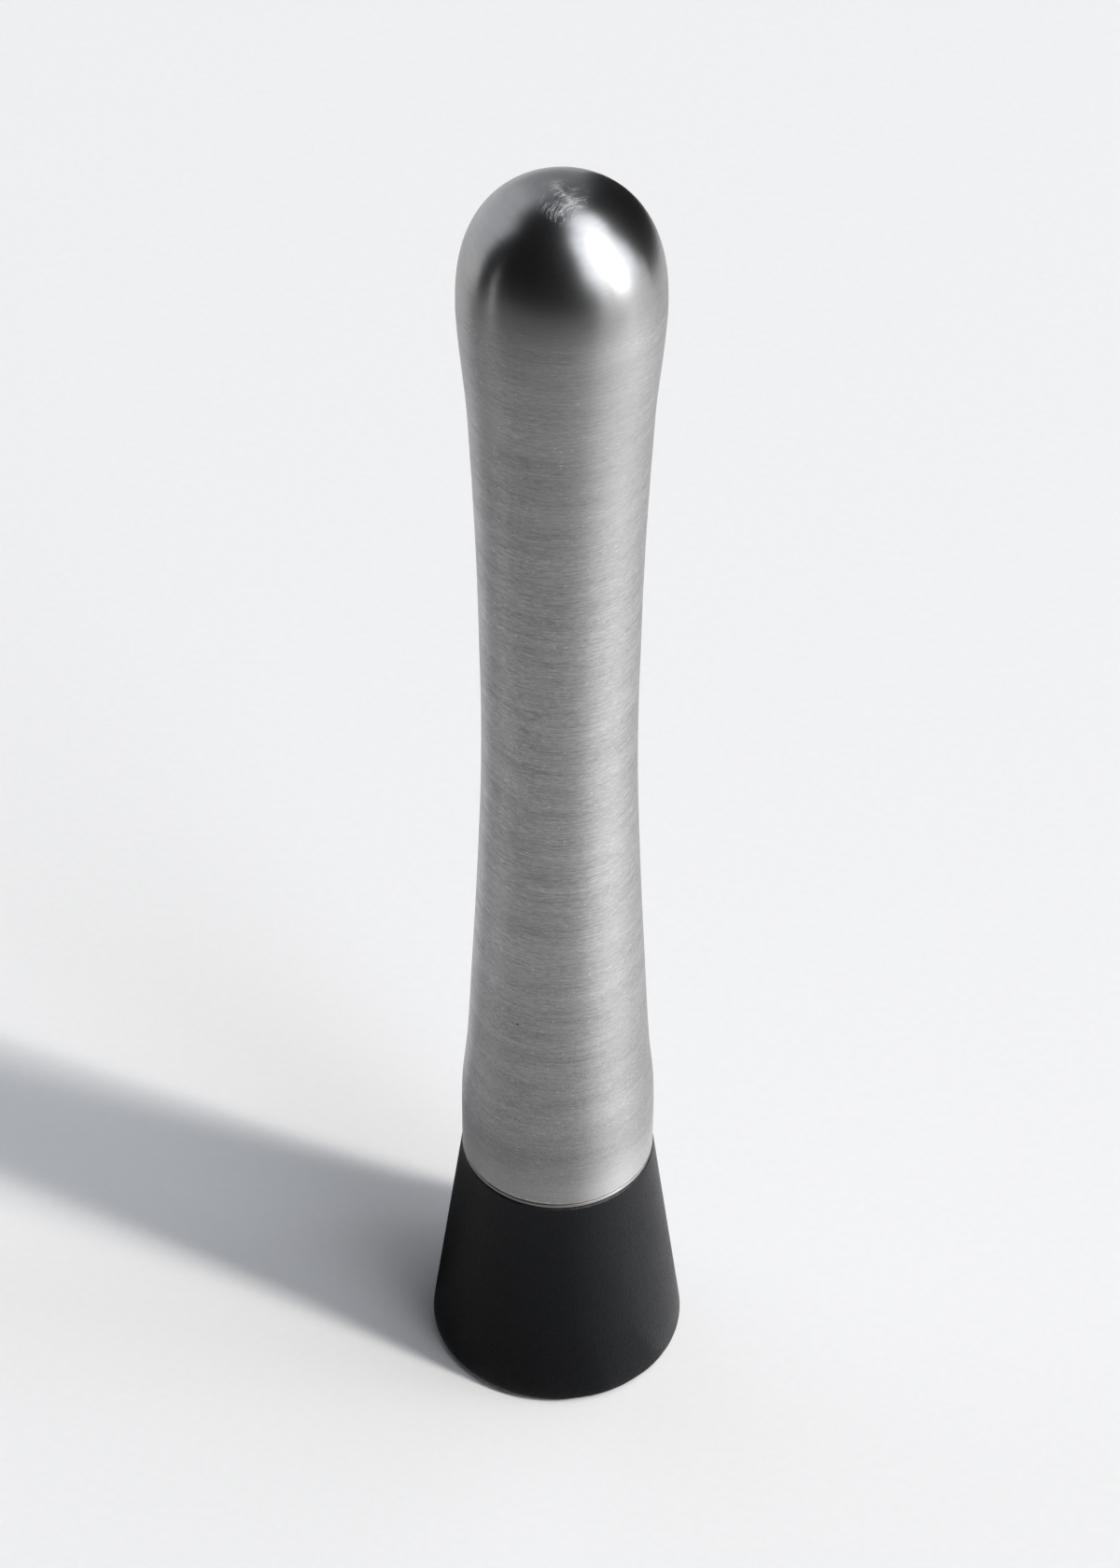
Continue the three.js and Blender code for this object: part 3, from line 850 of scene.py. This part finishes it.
# %% [markdown]
# ## Black nylon and rubber
# The head is dull black nylon with the fine grain of its mould. It gleams a little where light grazes it, and
# its lower edge and its rim are rubbed paler in patches. A pure black would show no form at all. So the grain
# moves the colour from black to a very dark grey, the two edges take the shared edge wear, and a faint bump
# breaks up the gleam. The washer is softer and duller.

# %% Black nylon
NYLON_BLACK, NYLON_GREY, WORN_NYLON = (0.0, 0.0, 0.0), (0.0052, 0.0056, 0.0067), (0.014, 0.0145, 0.0155)
NYLON_ROUGH = 0.47
black_nylon, tree, shader, place = new_material("black_nylon")
grain = use(tree, moulded_grain, place, grains=3000)
clouds = use(tree, moulded_grain, place, grains=180)
dust = use(tree, stray_flecks, place, across=420, along=420, share=0.05, size=0.09)
grain_tone = weighted(tree, (grain, 0.8), (clouds, 0.2), (dust, 1.5))
base_wear = use(tree, edge_wear, place, edge=0.0, reach=1.5 * MM, patches=900)
rim_wear = use(tree, edge_wear, place, edge=HEAD_TOP * MM, reach=0.5 * MM, patches=900)
head_wear = math_node(tree, "MAXIMUM", base_wear, rim_wear)
moulded = mix_colour(tree, grain_tone, NYLON_BLACK, NYLON_GREY)
tree.links.new(mix_colour(tree, head_wear, moulded, WORN_NYLON), shader.inputs["Base Color"])
nylon_change = weighted(tree, (grain_tone, -0.14), (head_wear, -0.06))
tree.links.new(math_node(tree, "ADD", nylon_change, NYLON_ROUGH), shader.inputs["Roughness"])
shader.inputs["Specular IOR Level"].default_value = 0.35
shader.inputs["Specular Tint"].default_value = (0.905, 0.935, 1.0, 1)
add_bump(tree, shader, grain, 0.9, 0.04 * MM)
print("black_nylon: fine grain, a little dust, worn at the two edges")

# %% Washer rubber
RUBBER_DARK, RUBBER_LIGHT = (0.022, 0.022, 0.024), (0.04, 0.04, 0.043)
washer_rubber, tree, shader, place = new_material("washer_rubber")
rubber_grain = use(tree, moulded_grain, place, grains=1500)
tree.links.new(mix_colour(tree, rubber_grain, RUBBER_DARK, RUBBER_LIGHT), shader.inputs["Base Color"])
tree.links.new(ramp(tree, rubber_grain, 0.0, 1.0, 0.72, 0.58), shader.inputs["Roughness"])
add_bump(tree, shader, rubber_grain, 0.2, 0.04 * MM)
print("washer_rubber: dull, with a soft grain")

# %% Finishes on the pieces
FINISHES = {
    "handle_steel": handle_steel, "plug_steel": plug_steel, "stud_steel": stud_steel,
    "insert_brass": insert_brass, "black_nylon": black_nylon, "washer_rubber": washer_rubber,
}
for piece, body, node, slot in PLACES:
    piece.data.materials.append(FINISHES[slot])
    print(f"{piece.name} is finished in {slot}")

# %% [markdown]
# ## Floor
# The muddler stands on white paper. A large grey plane would do for the shadow, but seen from below it would
# hide the teeth. So the paper is clear from its back. Very short rays, such as those that leave the teeth,
# pass through it too. Without that the teeth would be black from below, as no light gets under the head.

# %% Paper floor
FLOOR_REACH = 4.0
SHORT_RAY = 1.5 * MM
PAPER_DARK, PAPER_LIGHT = (0.838, 0.838, 0.843), (0.853, 0.853, 0.858)
floor_corners = [(x * FLOOR_REACH, y * FLOOR_REACH, 0) for x, y in ((-1, -1), (1, -1), (1, 1), (-1, 1))]
floor_mesh = bpy.data.meshes.new("paper_floor")
floor_mesh.from_pydata(floor_corners, [], [(0, 1, 2, 3)])
paper_floor = bpy.data.objects.new("paper_floor", floor_mesh)
bpy.context.scene.collection.objects.link(paper_floor)
white_paper, tree, shader, place = new_material("white_paper")
paper_grain = use(tree, moulded_grain, place, grains=700)
tree.links.new(mix_colour(tree, paper_grain, PAPER_DARK, PAPER_LIGHT), shader.inputs["Base Color"])
shader.inputs["Roughness"].default_value = 1.0
shader.inputs["Specular IOR Level"].default_value = 0.0
below = add(tree, "ShaderNodeNewGeometry").outputs["Backfacing"]
from_above = math_node(tree, "SUBTRACT", 1.0, below)
ray_length = add(tree, "ShaderNodeLightPath").outputs["Ray Length"]
clear_of_teeth = math_node(tree, "GREATER_THAN", ray_length, SHORT_RAY)
tree.links.new(math_node(tree, "MULTIPLY", from_above, clear_of_teeth), shader.inputs["Alpha"])
floor_mesh.materials.append(white_paper)
print(f"paper floor {2 * FLOOR_REACH:.0f} m square")

# %% [markdown]
# ## Grey and black cards
# Polished metal shows whatever stands round it, so a photographer lays grey and black cards just outside the
# picture to give it dark shapes. Painting the dark onto the steel would be simpler, but it would not move
# with the view. The cards here are flat ring sectors on the floor. Only reflections see them, so the floor
# stays plain.

# %% Card helpers
CARD_LIFT = 0.6 * MM
CARD_STEPS = 40


def card_paper(name, grey):
    """Dull paper of one grey."""
    material, tree, shader, place = new_material(name)
    shader.inputs["Base Color"].default_value = (grey, grey, grey, 1)
    shader.inputs["Roughness"].default_value = 0.9
    shader.inputs["Specular IOR Level"].default_value = 0.0
    return material


def floor_card(name, paper, azimuths, near_edges, far_edge):
    """Flat sector of a ring: the point at azimuth a and reach r is (r sin a, -r cos a), just off the floor.

    The near edge runs evenly from its first reach to its second as the azimuth does.
    """
    angle = np.radians(np.linspace(*azimuths, CARD_STEPS))
    reach = np.stack([np.linspace(*near_edges, CARD_STEPS), np.full(CARD_STEPS, far_edge)])
    rim = np.stack([reach * np.sin(angle), -reach * np.cos(angle), np.full_like(reach, CARD_LIFT)], axis=-1)
    index = np.arange(2 * CARD_STEPS).reshape(2, -1)
    quads = np.stack([index[0, :-1], index[1, :-1], index[1, 1:], index[0, 1:]], axis=-1)
    mesh = bpy.data.meshes.new(name)
    mesh.from_pydata(rim.reshape(-1, 3).tolist(), [], quads.tolist())
    mesh.materials.append(paper)
    card = bpy.data.objects.new(name, mesh)
    bpy.context.scene.collection.objects.link(card)
    card.visible_camera = card.visible_diffuse = card.visible_shadow = card.visible_transmission = False


print(f"cards lie {CARD_LIFT / MM:.1f} mm off the floor")

# %% Cards that only reflections see
GREYS = {"black": 0.02, "soot": 0.165, "dark": 0.2, "slate": 0.3, "ash": 0.4, "grey": 0.66, "pale": 0.78}
card_papers = {shade: card_paper(f"{shade}_card", grey) for shade, grey in GREYS.items()}
# Name, grey, azimuths in degrees, the near edge's reach at each of them, and the far edge's reach in metres
CARDS = [
    ("head_card", "soot", (-100, 26), (0.0206, 0.0206), 0.06),
    ("head_side_card", "ash", (26, 60), (0.0206, 0.0206), 0.06),
    ("base_card", "dark", (-100, 36), (0.06, 0.06), 0.084),
    ("front_near_card", "grey", (-75, 37), (0.084, 0.084), 0.2),
    ("front_middle_card", "slate", (-75, 37), (0.2, 0.2), 0.3),
    ("front_dark_card", "dark", (-75, 37), (0.3, 0.3), 0.95),
    ("front_far_card", "black", (-75, 47), (0.95, 0.95), 6.0),
    ("right_front_card", "dark", (37, 72), (0.28, 0.28), 0.62),
    ("right_far_card", "grey", (47, 72), (0.62, 0.62), 6.0),
    ("left_near_card", "grey", (-116, -80), (0.078, 0.078), 0.2),
    ("left_middle_card", "slate", (-116, -80), (0.2, 0.2), 0.55),
    ("left_far_card", "black", (-100, -80), (0.55, 0.55), 6.0),
    ("right_head_card", "grey", (36, 60), (0.06, 0.06), 0.085),
    ("right_base_card", "grey", (60, 125), (0.023, 0.023), 0.085),
    ("right_card", "pale", (75, 140), (0.085, 0.085), 0.5),
    # A black card where the floor is in shade left of the head: painted shade, seen only in reflections.
    ("left_base_shade_card", "black", (-175, -100), (0.0206, 0.0206), 0.065),
    ("left_back_card", "grey", (-175, -116), (0.25, 0.25), 0.65),
    ("back_card", "black", (107, 174), (0.66, 0.4), 6.0),
]
for name, shade, azimuths, near_edges, far_edge in CARDS:
    floor_card(name, card_papers[shade], azimuths, near_edges, far_edge)
print(f"{len(CARDS)} grey and black cards, seen by reflections only")

# %% [markdown]
# ## Lamps
# Two hard lamps side by side on the right throw the shadow with its double edge. One sun lamp could throw a
# shadow as sharp, but the dome mirrors its lamps, and its highlight is tall and narrow. So each lamp is an
# upright strip, far away, as wide and as high as the highlight needs.

# %% Lamps
KEY_DISTANCE, KEY_ELEVATION = 12.0, 34
KEY_WIDTH, KEY_RISE = math.radians(1.9), math.radians(36)
KEY_STRIPS = (("key_strip", 64.8, 88.0), ("second_strip", 67.8, 45.0))
WARM = (1.035, 1.0, 0.942)


def toward(azimuth, elevation):
    """Unit vector to a lamp; azimuth 0 is the camera's side, and it grows towards +X."""
    a, e = math.radians(azimuth), math.radians(elevation)
    return Vector((math.sin(a) * math.cos(e), -math.cos(a) * math.cos(e), math.sin(e)))


for name, azimuth, radiance in KEY_STRIPS:
    lamp_way = toward(azimuth, KEY_ELEVATION)
    lamp = bpy.data.lights.new(name, "AREA")
    lamp.shape = "RECTANGLE"
    lamp.size = 2 * KEY_DISTANCE * math.tan(KEY_WIDTH / 2)
    lamp.size_y = 2 * KEY_DISTANCE * math.tan(KEY_RISE / 2)
    lamp.energy = radiance * math.pi * lamp.size * lamp.size_y
    lamp.color = WARM
    holder = bpy.data.objects.new(name, lamp)
    facing = lamp_way.to_track_quat("Z", "Y").to_matrix().to_4x4()
    holder.matrix_world = Matrix.Translation(lamp_way * KEY_DISTANCE) @ facing
    bpy.context.scene.collection.objects.link(holder)
    print(f"{name}: {lamp.size:.2f} by {lamp.size_y:.2f} m, {KEY_DISTANCE:.0f} m away")

# %% [markdown]
# ## Room
# A broad soft panel round the lamps lifts the shadow. The rest of the room is dim in front and paler behind
# on the left, and the steel mirrors all of it. The room could be built of planes, but they would block the
# lamps. So the world holds it as a function of direction: each bright thing is a mask, the product of smooth
# steps in azimuth and elevation, with a light of its own.

# %% Directions and masks
world = bpy.data.worlds.new("dim_room")
bpy.context.scene.world = world
world.use_nodes = True
tree = world.node_tree
tree.nodes.clear()
way = add(tree, "ShaderNodeTexCoord").outputs["Generated"]
way_parts = add(tree, "ShaderNodeSeparateXYZ", {0: way}).outputs
round_axis = math_node(tree, "ARCTAN2", way_parts["X"], math_node(tree, "MULTIPLY", way_parts["Y"], -1.0))
upward = math_node(tree, "ARCSINE", way_parts["Z"])


def rise(value, edge, softness):
    """Smooth step from 0 to 1 as a direction passes an edge, both in degrees; the edge may be a socket."""
    edge = math.radians(edge) if isinstance(edge, (int, float)) else edge
    past = math_node(tree, "SUBTRACT", value, edge)
    return ramp(tree, past, -math.radians(softness), math.radians(softness), 0.0, 1.0)


def without(mask):
    """One less a mask."""
    return math_node(tree, "SUBTRACT", 1.0, mask)


def both(*masks):
    """Product of masks."""
    total = masks[0]
    for mask in masks[1:]:
        total = math_node(tree, "MULTIPLY", total, mask)
    return total


def span(value, low, high, softness):
    """Mask between two edges, in degrees."""
    return both(rise(value, low, softness), without(rise(value, high, softness)))


def edge_by_height(low, high, at_low, at_high):
    """Edge of a patch, in degrees of azimuth, that moves as the elevation passes from low to high."""
    return ramp(tree, upward, *(math.radians(degrees) for degrees in (low, high, at_low, at_high)))


print("masks by azimuth and elevation")

# %% Room as a function of direction
above = rise(upward, -4, 1)
panel_left = rise(round_axis, edge_by_height(0, 28, 44.5, 28.5), 9)
panel_right = without(rise(round_axis, edge_by_height(40, 66, 96, 165), 8))
panel_top = without(rise(upward, 79, 6))
left_gap = both(span(round_axis, 53, 58.5, 1.5), without(rise(upward, 46, 8)))
right_gap = both(span(round_axis, 74.5, 79, 1.5), rise(upward, 16, 4), without(rise(upward, 60, 8)))
panel = both(above, panel_left, panel_right, panel_top, without(left_gap), without(right_gap))
tail = both(above, span(round_axis, 68, 79, 2), without(rise(upward, 16, 5)))
wall_fade = ramp(tree, round_axis, math.radians(-176), math.radians(-152), 0.45, 1.0)
wall_end = math_node(tree, "MULTIPLY", rise(round_axis, 171, 4), 0.45)
wall_span = math_node(tree, "MULTIPLY_ADD", without(rise(round_axis, -101, 7)), wall_fade, wall_end)
pale_wall = both(above, wall_span, without(rise(upward, 46, 9)))
strip = both(above, span(round_axis, -80, -76, 1), without(rise(upward, 6, 4)))
under = without(rise(upward, -9, 3))
ROOM_LIGHTS = ((panel, 2.12), (tail, 2.2), (pale_wall, 0.72), (strip, 0.5), (under, 0.5))
ROOM_DARK = 0.012
ROOM_TINT = (0.963, 1.0, 1.062, 1.0)
strength = math_node(tree, "ADD", weighted(tree, *ROOM_LIGHTS), ROOM_DARK)
room = add(tree, "ShaderNodeBackground", {"Color": ROOM_TINT, "Strength": strength})
add(tree, "ShaderNodeOutputWorld", {"Surface": room.outputs[0]})
print("dim room with a bright panel on the right and a pale wall behind on the left")

# %% [markdown]
# ## View
# The Standard view shows colours as they were written, where a film look would bend them.

# %% View
bpy.context.scene.view_settings.view_transform = "Standard"
